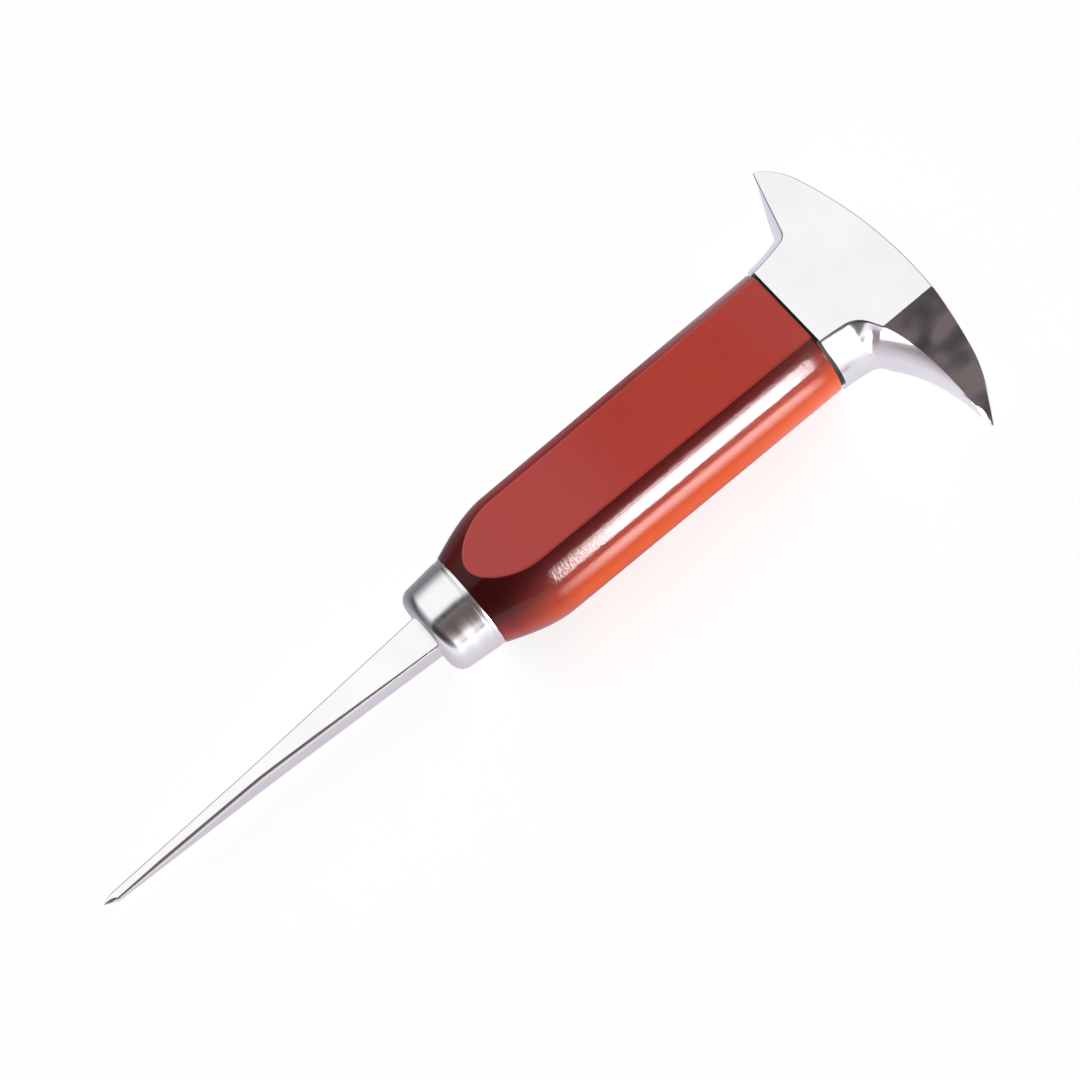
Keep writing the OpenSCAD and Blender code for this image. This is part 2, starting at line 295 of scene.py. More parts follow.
CLOUD_SIZE = 90
CLOUD_STOPS = (0.35, 0.65)   # cloud values of the dull and of the bright steel
CLOUD_DULL = 0.965           # brightness of the dull steel
GRIND_DEPTH = 0.00002        # metres
CALM_TILT = (0.6, 0.85)      # upward part of the normal, on sideways and on broad parts
CALM_SIDEWAYS = 0.3          # strength that the wave keeps on the sideways parts
CALM_NEAR = 0.15             # strength that it keeps on the near side


def steel(name, color, rough, rough_spread, stretch, bump, wave, wave_size, calm=None):
    """Steel with a directional grind: the noise drives roughness and a fine bump.

    A slower wave in the surface bends what it mirrors, as on a hand-polished part. With
    calm, a pair of places across the tool in mm, it is weak on the near side of them and
    on the parts that face sideways.
    """
    material, nodes, links, shader = new_material(name)
    shader.inputs["Metallic"].default_value = 1.0
    grind = noise_of(nodes, links, stretch, detail=6, roughness=0.6)
    cloud = even_noise(nodes, links, CLOUD_SIZE, detail=3)
    tones = [c * CLOUD_DULL for c in color], color
    links.new(ramp_of(nodes, links, cloud, list(zip(CLOUD_STOPS, tones))),
              shader.inputs["Base Color"])
    links.new(remap(nodes, links, grind, *NOISE_SPAN, rough - rough_spread,
                    rough + rough_spread), shader.inputs["Roughness"])
    strength = 1.0
    if calm:
        normal = axes_of(nodes, links, nodes.new("ShaderNodeNewGeometry").outputs["Normal"])
        broad = remap(nodes, links, maths(nodes, links, "ABSOLUTE", normal["Z"]),
                      *CALM_TILT, CALM_SIDEWAYS, 1.0)
        beyond = remap(nodes, links, place_of(nodes, links)["Y"], calm[0] * MM,
                       calm[1] * MM, CALM_NEAR, 1.0)
        strength = maths(nodes, links, "MULTIPLY", broad, beyond)
    swell = even_noise(nodes, links, wave_size, detail=1)
    waves = bump_of(nodes, links, swell, strength, wave)
    links.new(bump_of(nodes, links, grind, bump, GRIND_DEPTH, waves),
              shader.inputs["Normal"])
    return material


HEAD_STEEL = steel("head_steel", (0.885, 0.875, 0.885), rough=0.14, rough_spread=0.03,
                   stretch=(260, 40, 260), bump=0.10, wave=0.0005, wave_size=130,
                   calm=(-13, -17))
SPIKE_STEEL = steel("spike_steel", (0.93, 0.925, 0.93), rough=0.19, rough_spread=0.04,
                    stretch=(60, 900, 900), bump=0.10, wave=0.00002, wave_size=110)
FERRULE_STEEL = steel("ferrule_steel", (0.93, 0.92, 0.925), rough=0.20, rough_spread=0.05,
                      stretch=(900, 60, 60), bump=0.2, wave=0.00012, wave_size=170)


# ---------------------------------------------------------------- lacquered wood

# Stain of the round sides by the turn round the axis, 0 at a flat's middle and 1 halfway
# between the flats, and the darker one on the shoulder. Both are red stain with painted light
# and shade in it: painted shade makes a dark band next to the flats and darkens the shoulder,
# and painted light turns the stain orange halfway between the flats.
ROUND_PAINTED_LIGHT_SHADE = [(0.00, (0.20, 0.010, 0.006)), (0.42, (0.17, 0.004, 0.002)),
               (0.50, (0.27, 0.008, 0.004)), (0.64, (0.50, 0.028, 0.008)),
               (0.80, (0.82, 0.075, 0.004)), (1.00, (0.90, 0.110, 0.004))]
SHOULDER_PAINTED_SHADE = [(0.00, (0.085, 0.004, 0.003)), (0.50, (0.075, 0.002, 0.001)),
                  (0.64, (0.12, 0.003, 0.002)), (0.82, (0.30, 0.010, 0.006)),
                  (1.00, (0.42, 0.018, 0.010))]
SHOULDER_SHADE_PAST = 3        # mm by which the shoulder's painted shade is set towards the head
STAIN_FLAT = [(0.28, (0.84, 0.050, 0.026)), (0.50, (0.90, 0.058, 0.026)),
              (0.72, (0.95, 0.078, 0.018))]
FLAT_EDGE_HIGHLIGHT = (0.80, 0.20, 0.16)      # painted highlight on the flats' eased edges, where they catch the light
STAIN_THIN = (0.86, 0.105, 0.090)    # on the flats near the ferrule, where it is rubbed thin
THIN_ALONG = [(0.00, 1.0), (0.30, 0.75), (0.52, 0.10), (0.80, 0.0), (1.00, 0.5)]
FLAT_BLEND = (0.22, 0.06)    # mm below a flat where the flats' stain starts and is full
EDGE_HIGHLIGHT_DEPTH = 0.30            # mm below a flat where the painted highlight on its edge starts
EDGE_HIGHLIGHT_STOPS = [(0.25, 0), (0.60, 0.5), (0.92, 0)]
SPECKLE = 0.035              # how far the grain shifts the round sides' stain
SPUR_SIDE_PAINTED_LIGHT = (-0.002, 0.006, 0.0, 0.7)        # span across the tool in metres, and strength of the painted light on the spur's side
NEAR_FLAT_PAINTED_LIGHT = (0.50, 0.62, 1.0, -0.35)         # span of the turn, and how much painted light: brighter near the flats, darker away from them
# How fine each noise is along the tool, across it and upwards.
GRAIN = (300, 1500, 1500)
MOTTLE = (38, 75, 75)
RIPPLE = (2600, 1500, 1500)
STREAK = (35, 1300, 1300)
COAT_RELIEF = 0.00002        # metres
GRAIN_RELIEF = 0.00005       # metres
GRAIN_BUMP = 0.1             # strength of the grain's relief under the coat


def round_stain_and_painted_light(nodes, links, at, around, grain):
    """Stain of the round sides with painted light and shade; on the spur's side painted light
    brightens it near the flats and darkens it away from them.
    """
    speckled = maths(nodes, links, "ADD", around,
                     remap(nodes, links, grain, *NOISE_SPAN, -SPECKLE, SPECKLE))
    shoulder_from = GRIP_FROM + SHOULDER_SHADE_PAST
    shoulder_shade = remap(nodes, links, at["X"], shoulder_from * MM,
                        (shoulder_from + SHOULDER) * MM, 1.0, 0.0)
    # Painted shade and light: dark next to the flats and on the shoulder, orange halfway
    # between the flats.
    color = mix_colors(nodes, links, shoulder_shade,
                       ramp_of(nodes, links, speckled, ROUND_PAINTED_LIGHT_SHADE),
                       ramp_of(nodes, links, around, SHOULDER_PAINTED_SHADE))
    # Painted light on the spur's side: brighter near the flats, darker away from them.
    lighter = maths(nodes, links, "MULTIPLY", remap(nodes, links, at["Y"], *SPUR_SIDE_PAINTED_LIGHT),
                    remap(nodes, links, around, *NEAR_FLAT_PAINTED_LIGHT))
    shaded = nodes.new("ShaderNodeVectorMath")
    shaded.operation = "SCALE"
    links.new(color, shaded.inputs[0])
    links.new(maths(nodes, links, "ADD", 1.0, lighter), shaded.inputs["Scale"])
    return shaded.outputs["Vector"]


def flat_stain(nodes, links, at):
    """Stain of the flats, mottled and rubbed thin near the ferrule."""
    along = remap(nodes, links, at["X"], GRIP_FROM * MM, GRIP_TO * MM)
    mottle = noise_of(nodes, links, MOTTLE, detail=4)
    return mix_colors(nodes, links, ramp_of(nodes, links, along, greys(THIN_ALONG)),
                      ramp_of(nodes, links, mottle, STAIN_FLAT), solid(nodes, STAIN_THIN))


def lacquered_wood():
    """Red stained wood under a thick clear coat, with painted light and shade in its stain."""
    material, nodes, links, shader = new_material("lacquered_wood")
    grain = noise_of(nodes, links, GRAIN, detail=6, roughness=0.7)
    at = place_of(nodes, links)
    rise = maths(nodes, links, "ABSOLUTE",
                 maths(nodes, links, "SUBTRACT", at["Z"], AXIS_Z * MM))
    aside = maths(nodes, links, "ABSOLUTE", at["Y"])
    around = maths(nodes, links, "DIVIDE", maths(nodes, links, "ARCTAN2", aside, rise),
                   math.pi / 2)
    on_flat = remap(nodes, links, rise, *[(HALF_FLATS - depth) * MM for depth in FLAT_BLEND])
    color = mix_colors(nodes, links, on_flat, round_stain_and_painted_light(nodes, links, at, around, grain),
                       flat_stain(nodes, links, at))
    # Painted highlight: a lighter line along the flats' eased edges.
    near_edge = remap(nodes, links, rise, (HALF_FLATS - EDGE_HIGHLIGHT_DEPTH) * MM, HALF_FLATS * MM)
    worn = ramp_of(nodes, links, near_edge, greys(EDGE_HIGHLIGHT_STOPS))
    links.new(mix_colors(nodes, links, worn, color, solid(nodes, FLAT_EDGE_HIGHLIGHT)),
              shader.inputs["Base Color"])
    for name, value in (("Roughness", 0.6), ("Specular IOR Level", 0.05),
                        ("Coat Weight", 1.0), ("Coat Roughness", 0.10), ("Coat IOR", 1.33)):
        shader.inputs[name].default_value = value
    coat = None
    for stretch in (STREAK, RIPPLE):
        relief = noise_of(nodes, links, stretch, detail=2)
        coat = bump_of(nodes, links, relief, 1.0, COAT_RELIEF, coat)
    links.new(coat, shader.inputs["Coat Normal"])
    links.new(bump_of(nodes, links, grain, GRAIN_BUMP, GRAIN_RELIEF),
              shader.inputs["Normal"])
    return material


WOOD = lacquered_wood()


# ---------------------------------------------------------------- plain finishes

PLAIN_CLOUD = 400
PLAIN_DULL = 0.85            # brightness at the clouds' dark end
PLAIN_ROUGH_SPREAD = 0.05


def plain(name, color, rough, metallic=0.0):
    """A plain finish with a slight cloudy variation."""
    material, nodes, links, shader = new_material(name)
    cloud = even_noise(nodes, links, PLAIN_CLOUD, detail=4)
    dull = [c * PLAIN_DULL for c in color]
    links.new(ramp_of(nodes, links, cloud, [(0.0, dull), (1.0, color)], "LINEAR"),
              shader.inputs["Base Color"])
    links.new(remap(nodes, links, cloud, *NOISE_SPAN, rough - PLAIN_ROUGH_SPREAD,
                    rough + PLAIN_ROUGH_SPREAD), shader.inputs["Roughness"])
    shader.inputs["Metallic"].default_value = metallic
    shader.inputs["Specular IOR Level"].default_value = 0.2
    return material


BLACK = plain("black_spacer", (0.012, 0.010, 0.010), 0.5)
HIDDEN_STEEL = plain("hidden_steel", (0.5, 0.5, 0.52), 0.35, 1.0)
BRASS = plain("nut_brass", (0.72, 0.55, 0.26), 0.3, 1.0)


# ---------------------------------------------------------------- grip

TURN_STEPS = (90, 30)        # in each eighth of a turn: near a flat and away from it
GRIP_STEPS = (110, 24, 8)    # along the shoulder, the body and the rounding of the end


def grip_radius(dist):
    """Radius of the round sides at a distance from the ferrule."""
    length = GRIP_TO - GRIP_FROM
    if dist < SHOULDER:
        return MOUTH_R + (GRIP_R - MOUTH_R) * math.sin(math.pi / 2 * dist / SHOULDER)
    return GRIP_R + (GRIP_END_R - GRIP_R) * (dist - SHOULDER) / (length - SHOULDER)


def soft_min(a, b, ease):
    """The smaller of two lengths, with a smooth change from one to the other."""
    h = max(0.0, min(1.0, 0.5 + (b - a) / (2 * ease)))
    return b + (a - b) * h - ease * h * (1 - h)


def grip_angles():
    """Angles round the section, from the upper flat's middle, closer near the flats."""
    fine, coarse = TURN_STEPS
    quarter = [math.radians(45) * i / fine for i in range(fine)]
    quarter += [math.radians(45 + 45 * i / coarse) for i in range(coarse)]
    half = quarter + [math.pi / 2] + [math.pi - a for a in reversed(quarter[1:])]
    return half + [math.pi] + [2 * math.pi - a for a in reversed(half[1:])]


def grip_piece():
    """The lacquered grip: round with a flat above and below, and a rounded shoulder."""
    length = GRIP_TO - GRIP_FROM
    angles = grip_angles()
    near, body, end = GRIP_STEPS
    stations = [SHOULDER * i / near for i in range(near)]
    stations += [SHOULDER + (length - GRIP_EDGE - SHOULDER) * i / body for i in range(body)]
    stations += [length - GRIP_EDGE * (1 - math.sin(math.pi / 2 * i / end))
                 for i in range(end + 1)]
    rings = []
    for dist in stations:
        inset = max(0.0, dist - (length - GRIP_EDGE))
        drop = GRIP_EDGE - math.sqrt(max(0.0, GRIP_EDGE ** 2 - inset ** 2))
        radius = grip_radius(dist)
        ring = []
        for a in angles:
            flat = HALF_FLATS / max(1e-6, abs(math.cos(a)))
            rho = soft_min(radius, flat, FLAT_EASE) - drop
            ring.append((GRIP_FROM + dist, rho * math.sin(a), AXIS_Z + rho * math.cos(a)))
        rings.append(ring)
    finish_mesh("grip_lacquered", *skin(rings), "lacquered_wood", WOOD, ["handle_grip"])


grip_piece()


# ---------------------------------------------------------------- head

NECK_R = 13.4            # radius of the neck's round sides
CROWN_H = 21.15          # height of the crown above the neck's foot
CROWN_PEAK = 8.0         # offset of the crown's peak from the axis
CROWN_R = 86.0           # radius of the crown's long arc
BEAK_BEND = (27.0, 18.0, 31.0)   # of the crown: offset from the axis, radius, last slope
SPUR_BEND = (18.0, 14.0, 50.0)
FLARE_POWER = 1.5        # how late the neck's flare starts
BEAK_FADE = 1.6          # how fast the bow under the beak fades towards the tip
EDGE_ROUND = 0.28        # rounding of the faces' edges
GRIND_FROM = 33.8        # offset from the axis where the beak's tip is ground underneath
GRIND_RISE = 0.5         # how deep that facet is ground in its middle
FACE_STRIP = 0.08        # flat strip inside the rounding
HEAD_SHARP = 15          # degrees between faces that meet in a crisp edge
EDGE_STEPS = 8
SIDE_STEPS, CORNER_STEPS, WING_STEPS, CROWN_STEPS, LAYER_STEPS = 14, 20, 44, 120, 32


class Wing:
    """One wing of the crescent: the beak, bevelled to a point, or the full-width spur.

    It leaves the neck at the offset root and the height root_h, and its underside curves
    with the power sweep to the tip, tip_edge under the crown and tip_half from the middle
    to a face. The underside bows by bow between the faces. The neck flares towards it, and
    meets it in an inside corner that is larger at the faces than in the middle.
    """

    def __init__(self, side, reach, root, root_h, sweep, bow, tip_edge, tip_half, flare,
                 corner_face, corner_mid, bend):
        self.side, self.reach, self.root, self.root_h = side, reach, root, root_h
        self.sweep, self.bow, self.tip_edge, self.tip_half = sweep, bow, tip_edge, tip_half
        self.flare, self.corner_face, self.corner_mid = flare, corner_face, corner_mid
        self.bend = bend

    def tip_h(self):
        """Height of the underside at the tip."""
        return crown_at(self.side * self.reach) - self.tip_edge

    def share(self, u):
        """How far an offset lies along the wing, from 0 at the root to 1 at the tip."""
        return (u - self.root) / (self.reach - self.root)

    def half(self, u):
        """Distance from the middle to a face."""
        return HALF_FACE - (HALF_FACE - self.tip_half) * self.share(u)

    def end(self, v):
        """Offset where the layer at height v ends."""
        if self.tip_half >= HALF_FACE:
            return self.reach
        past = max(0.0, abs(v) - self.tip_half) / (HALF_FACE - self.tip_half)
        return self.reach - (self.reach - self.root) * past

    def slope(self):
        """Slope of the underside at the root."""
        return self.sweep * (self.tip_h() - self.root_h) / (self.reach - self.root)

    def under(self, u):
        """Height of the underside, without its bow."""
        if u < self.root:
            return self.root_h - self.slope() * (self.root - u)
        rise = self.tip_h() - self.root_h
        return self.tip_h() - rise * max(0.0, 1 - self.share(u)) ** self.sweep

    def bulge(self, u, v):
        """How far the underside bows down in the layer at height v."""
        t = max(0.0, self.share(u))
        fade = max(0.0, 1 - t) ** BEAK_FADE if self.side > 0 else max(0.0, 1 - t * t)
        return self.bow * fade * (1 - (v / self.half(max(u, self.root))) ** 2)


def crown_at(u):
    """Height of the crown at an offset from the axis, positive towards the beak."""
    bend, peak = (BEAK.bend, -CROWN_PEAK) if u >= CROWN_PEAK else (SPUR.bend, CROWN_PEAK)
    dist = abs(u - CROWN_PEAK)
    bend_from = bend[0] + peak
    if dist < bend_from:
        return CROWN_H - (CROWN_R - math.sqrt(CROWN_R ** 2 - dist ** 2))
    start = math.asin(bend_from / CROWN_R)
    top = CROWN_H - (CROWN_R - math.sqrt(CROWN_R ** 2 - bend_from ** 2))
    last = math.sin(math.radians(bend[2]))
    bend_end = bend_from + bend[1] * (last - math.sin(start))
    slope = math.asin(min(last, math.sin(start) + (dist - bend_from) / bend[1]))
    return (top - bend[1] * (math.cos(start) - math.cos(slope))
            - max(0.0, dist - bend_end) * math.tan(slope))


BEAK = Wing(side=1, reach=BEAK_REACH, root=14.8, root_h=9.75, sweep=3.5, bow=3.1,
            tip_edge=0.3, tip_half=0.3, flare=0.9, corner_face=2.6, corner_mid=0.8,
            bend=BEAK_BEND)
SPUR = Wing(side=-1, reach=SPUR_REACH, root=13.0, root_h=8.8, sweep=1.0, bow=1.7,
            tip_edge=0.6, tip_half=HALF_FACE, flare=1.5, corner_face=1.2, corner_mid=1.0,
            bend=SPUR_BEND)


def wing_side(wing, v, back):
    """Side, inside corner and underside of one wing, in the layer at height v.

    The layer lies back from the wing's full outline by a small distance.
    """
    def under(u):
        level = wing.under(u) - wing.bulge(u, v) + back
        if wing is SPUR or u < GRIND_FROM:
            return level
        # The facet is deepest halfway and closes at the tip.
        t = (u - GRIND_FROM) / (wing.reach - GRIND_FROM)
        return level + 4 * GRIND_RISE * t * (1 - t) * max(0.0, min(1.0, v / wing.half(u)))

    neck = math.sqrt(NECK_R ** 2 - v * v) - back
    halfway = 1 - (v / HALF_FACE) ** 2
    corner_u = neck + wing.flare
    corner_h = under(corner_u)
    r = wing.corner_face + (wing.corner_mid - wing.corner_face) * halfway
    start, end, side_h = corner_u + r, wing.end(v), corner_h - r
    if wing is SPUR:
        end -= back
    p0 = Vector((corner_u - wing.flare * (1 - (side_h / corner_h) ** FLARE_POWER), side_h))
    p1 = Vector((corner_u, corner_h))
    p2 = Vector((start, under(start)))
    points = []
    for i in range(SIDE_STEPS):
        h = side_h * i / SIDE_STEPS
        points.append((neck + wing.flare * (h / corner_h) ** FLARE_POWER, h))
    for i in range(CORNER_STEPS):
        t = i / CORNER_STEPS
        points.append(tuple((1 - t) ** 2 * p0 + 2 * t * (1 - t) * p1 + t * t * p2))
    for i in range(WING_STEPS + 1):
        u = start + (end - start) * i / WING_STEPS
        points.append((u, under(u)))
    return points


def head_outline(v, back):
    """Outline of the layer at height v: round the beak, over the crown, round the spur."""
    beak = wing_side(BEAK, v, back)
    spur = [(-u, h) for u, h in wing_side(SPUR, v, back)]
    start, end = beak[-1][0], spur[-1][0]
    crown = []
    for i in range(CROWN_STEPS + 1):
        u = start + (end - start) * i / CROWN_STEPS
        crown.append((u, crown_at(u) - back))
    return beak + crown + spur[::-1]


def head_piece():
    """The crescent head: layers across the tool, with rounded edges at both faces."""
    inner = HALF_FACE - EDGE_ROUND
    turns = [math.pi / 2 * k / EDGE_STEPS for k in range(EDGE_STEPS + 1)]
    layers = [(inner + EDGE_ROUND * math.sin(a), EDGE_ROUND * (1 - math.cos(a)))
              for a in turns]
    layers.append((HALF_FACE, EDGE_ROUND + FACE_STRIP))
    middle = [inner * i / LAYER_STEPS for i in range(-LAYER_STEPS + 1, LAYER_STEPS)]
    layers = [(-v, back) for v, back in reversed(layers)] + [(v, 0.0) for v in middle] + layers
    rings = [[(FOOT_X + h, -u, AXIS_Z + v) for u, h in head_outline(v, back)]
             for v, back in layers]
    piece = finish_mesh("crescent_head_polished", *skin(rings), "head_steel", HEAD_STEEL,
                        ["crescent_head"], HEAD_SHARP)
    for face in piece.data.polygons:
        if len(face.vertices) > 4:      # the two flat faces
            face.use_smooth = False


head_piece()


# ---------------------------------------------------------------- ferrule

FERRULE_MOUTH_R = 9.3
FERRULE_END_R = 8.75
FERRULE_ROUND = 2.6      # rounding of the spike end
FERRULE_BORE_R = 8.2
CAP_R = 4.0              # radius of the middle of the end face, round the spike
BEAD = 0.9               # width of the bead at the mouth
BEAD_RISE = 0.12         # height of the bead
GROOVE = 0.3             # width of the groove behind it
GROOVE_DEPTH = 0.15
GROOVE_SIDE = 0.2        # share of the groove's width that each sloping side takes
LIP = 0.05               # width of the rounded lip of the groove
LIP_DROP = (0.01, 0.04)  # how far the lip falls where it starts and at the groove
MOUTH_DEPTH = 1.0        # how far the bore is modelled
FERRULE_STEPS, ROUND_STEPS, BEAD_STEPS = 192, 20, 10


def ferrule_piece():
    """The polished cup, turned, with a bead and a groove at its mouth."""
    length = GRIP_FROM - FERRULE_FROM
    bead_from = length - BEAD
    groove_r = FERRULE_MOUTH_R - GROOVE_DEPTH
    profile = [(0.0, CAP_R)]
    profile += [(FERRULE_ROUND - x, FERRULE_END_R - FERRULE_ROUND + y)
                for x, y in arc(0, 0, FERRULE_ROUND, 0, 90, ROUND_STEPS)]
    profile += [(bead_from - GROOVE - LIP, FERRULE_MOUTH_R - LIP_DROP[0]),
                (bead_from - GROOVE, FERRULE_MOUTH_R - LIP_DROP[1]),
                (bead_from - GROOVE * (1 - GROOVE_SIDE), groove_r),
                (bead_from - GROOVE * GROOVE_SIDE, groove_r)]
    for i in range(BEAD_STEPS + 1):
        turn = math.pi * i / BEAD_STEPS
        profile.append((bead_from + BEAD / 2 - BEAD / 2 * math.cos(turn),
                        FERRULE_MOUTH_R - BEAD_RISE + BEAD_RISE * math.sin(turn)))
    profile += [(length, FERRULE_BORE_R), (length - MOUTH_DEPTH, FERRULE_BORE_R)]
    finish_mesh("ferrule_cup", *skin(turned(profile, FERRULE_STEPS, FERRULE_FROM)),
                "ferrule_steel", FERRULE_STEEL, ["ferrule"])


ferrule_piece()


# ---------------------------------------------------------------- spike

SPIKE_W = (7.6, 3.2, 2.0)   # width at the ferrule, at the slender stretch, at the facet
SPIKE_T = (4.4, 4.3, 1.2)   # thickness at the same places
RELIEF = 8.5                # the first stretch, where it gets slightly thinner
TAPER = 38.0                # distance of the slender stretch from the ferrule
TAPER_EASE = 0.3            # how softly the two tapers join
POINT_LEN = 2.6             # length of the point facet
POINT_SIZE = 0.16           # width and thickness of the very point
POINT_POWER = 1.5           # how late the facet's width narrows
POINT_LEAN = 0.55           # how far the side leans where the point is ground
LEAN_POWER = 0.8            # how soon that lean is at its most
EDGE_EASE = (0.40, 0.90)    # rounding of the beak side's upper edge: ferrule, further out
EDGE_EASE_LEN = 26.0        # distance between those two
OTHER_EASE = 0.50           # rounding of the other long edges
EASE_SHARE = 0.42           # largest share of the section that a rounding takes
BURIED = 1.0                # how far the spike goes into the ferrule
SPIKE_STEPS, POINT_STEPS, EASE_STEPS = 120, 16, 10


def spike_size(dist):
    """Width and thickness at a distance from the ferrule."""
    facet = SPIKE_LEN - POINT_LEN
    steep = SPIKE_W[0] + (SPIKE_W[1] - SPIKE_W[0]) * dist / TAPER
    slow = SPIKE_W[1] + (SPIKE_W[2] - SPIKE_W[1]) * (dist - TAPER) / (facet - TAPER)
    width = -soft_min(-steep, -slow, TAPER_EASE)
    relief = min(1.0, dist / RELIEF)
    thick = SPIKE_T[0] + (SPIKE_T[1] - SPIKE_T[0]) * relief
    return width, thick + (SPIKE_T[2] - SPIKE_T[1]) * max(0.0, dist - TAPER) / (facet - TAPER)


def rounded_ring(dist, width, thick, lift, lean=0.0):
    """Rectangle with rounded corners across the axis; its beak side can lean."""
    worn = min(1.0, max(0.0, dist) / EDGE_EASE_LEN)
    beak_edge = EDGE_EASE[0] + (EDGE_EASE[1] - EDGE_EASE[0]) * worn
    ring = []
    for sy, sz, start in ((1, 1, 0), (-1, 1, 90), (-1, -1, 180), (1, -1, 270)):
        ease = min(beak_edge if start == 90 else OTHER_EASE, width * EASE_SHARE,
                   thick * EASE_SHARE)
        cy, cz = sy * (width / 2 - ease), sz * (thick / 2 - ease)
        for y, z in arc(cy, cz, ease, start, start + 90, EASE_STEPS):
            y += lean * (0.5 + z / thick) * (sy < 0)
            ring.append((FERRULE_FROM - dist, y, AXIS_Z + lift + z))
    return ring


def spike_piece():
    """The spike: two tapers and a point facet, which rises to the upper side."""
    facet = SPIKE_LEN - POINT_LEN
    rings = []
    for dist in [-BURIED] + [facet * i / SPIKE_STEPS for i in range(SPIKE_STEPS + 1)]:
        rings.append(rounded_ring(dist, *spike_size(max(0.0, dist)), 0))
    width, thick = spike_size(facet)
    for i in range(1, POINT_STEPS + 1):
        t = i / POINT_STEPS
        w = width + (POINT_SIZE - width) * t ** POINT_POWER
        h = thick + (POINT_SIZE - thick) * t
        lean = POINT_LEAN * math.sin(math.pi * t ** LEAN_POWER)
        rings.append(rounded_ring(facet + POINT_LEN * t, w, h, (thick - h) / 2, lean))
    finish_mesh("spike_polished", *skin(rings), "spike_steel", SPIKE_STEEL, ["awl_blade"])


spike_piece()


# ---------------------------------------------------------------- CAD nodes that show

for node_name, material in (("neck_spacer", BLACK), ("thrust_washer", HIDDEN_STEEL),
                            ("head_stud", HIDDEN_STEEL), ("coupling_nut", BRASS),
                            ("dowel_pins", HIDDEN_STEEL)):
    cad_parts[node_name].data.materials.clear()
    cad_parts[node_name].data.materials.append(material)


# ---------------------------------------------------------------- stage and light

CENTRE = Vector((0, 0, 0))
X, Y, Z = Vector((1, 0, 0)), Vector((0, 1, 0)), Vector((0, 0, 1))
FLOOR_SIZE = 12          # metres
MIRROR_DROP = 0.0002     # metres from the floor down to the one that the tool mirrors
BOUNCE_DROP = 0.0004     # and down to the one that lights it from below
CARD_FOOT = 0.0004       # metres above the floor where the cards start
FLOOR_GLOW = 0.86        # emission that makes the floor pale whatever lights it
BOUNCE_STRENGTH = 1.9


def plane(name, centre, right, up, width, height, material, hidden_from):
    """A stage rectangle that some kinds of ray don't meet."""
    mesh = bpy.data.meshes.new(name)
    corners = [centre + sx * right * width / 2 + sy * up * height / 2
               for sx, sy in ((-1, -1), (1, -1), (1, 1), (-1, 1))]
    mesh.from_pydata(corners, [], [(0, 1, 2, 3)])
    mesh.materials.append(material)
    card = bpy.data.objects.new(name, mesh)
    bpy.context.collection.objects.link(card)
    for kind in hidden_from:
        setattr(card, "visible_" + kind, False)


def glow(name, color, strength):
    """A material that only emits, and its emission node."""
    material = bpy.data.materials.new(name)
    material.use_nodes = True
    nodes = material.node_tree.nodes
    nodes.clear()
    out = nodes.new("ShaderNodeOutputMaterial")
    light = add(nodes, "ShaderNodeEmission", Color=(*color, 1), Strength=strength)
    material.node_tree.links.new(light.outputs["Emission"], out.inputs["Surface"])
    return material, light


def white_floor():
    """The pale floor that the camera sees."""
    material, _, _, shader = new_material("white_floor")
    for name, value in (("Base Color", (0.30, 0.30, 0.30, 1)), ("Roughness", 0.9),
                        ("Specular IOR Level", 0.0), ("Emission Color", (1, 1, 1, 1)),
                        ("Emission Strength", FLOOR_GLOW)):
        shader.inputs[name].default_value = value
    return material


# Brightness of the floor as the tool mirrors it, from the beak's side to the other: beside the
# grip, and beside the steel parts at its ends. It is painted light and shade: a pool of light
# below the strip light, and the tool's painted shadow, darkest beside the grip and towards the
# side away from the beak. The spans are in metres, that across the tool, and those along it
# where the grip's colours change to those of each end.
FLOOR_SPAN = (-0.08, 0.06)
SPIKE_SPAN = (-0.019, -0.032)
HEAD_SPAN = (0.014, 0.036)
FLOOR_SHADOW_AT_GRIP = [(0.00, (0.50, 0.48, 0.52)), (0.30, (0.40, 0.36, 0.40)),
                 (0.42, (0.30, 0.26, 0.29)), (0.70, (0.28, 0.26, 0.29)),
                 (1.00, (0.20, 0.19, 0.22))]
FLOOR_AT_SPIKE = [(0.00, (1.00, 0.99, 1.04)), (0.30, (0.86, 0.84, 0.90)),
                  (0.40, (0.77, 0.74, 0.80)), (0.50, (0.68, 0.64, 0.71)),
                  (0.60, (0.55, 0.53, 0.59)), (0.80, (0.33, 0.31, 0.36)),
                  (1.00, (0.22, 0.21, 0.24))]
FLOOR_AT_HEAD = [(0.00, (1.08, 1.08, 1.10)), (0.20, (1.04, 1.03, 1.08)),
                 (0.29, (0.92, 0.90, 0.96)), (0.40, (0.86, 0.83, 0.90)),
                 (0.50, (0.76, 0.73, 0.81)), (0.60, (0.76, 0.74, 0.84)),
                 (1.00, (0.76, 0.75, 0.86))]


def mirrored_floor():
    """What the tool mirrors of the floor, with its light and shade painted in: bright beside
    the strip light, dim beyond.
    """
    material, light = glow("mirrored_floor", (1, 1, 1), 1.0)
    nodes, links = material.node_tree.nodes, material.node_tree.links
    at = place_of(nodes, links)
    across = remap(nodes, links, at["Y"], *FLOOR_SPAN)
    color = ramp_of(nodes, links, across, FLOOR_SHADOW_AT_GRIP, "LINEAR")
    for stops, span in ((FLOOR_AT_SPIKE, SPIKE_SPAN), (FLOOR_AT_HEAD, HEAD_SPAN)):
        color = mix_colors(nodes, links, remap(nodes, links, at["X"], *span), color,
                           ramp_of(nodes, links, across, stops, "LINEAR"))
    links.new(color, light.inputs["Color"])
    return material


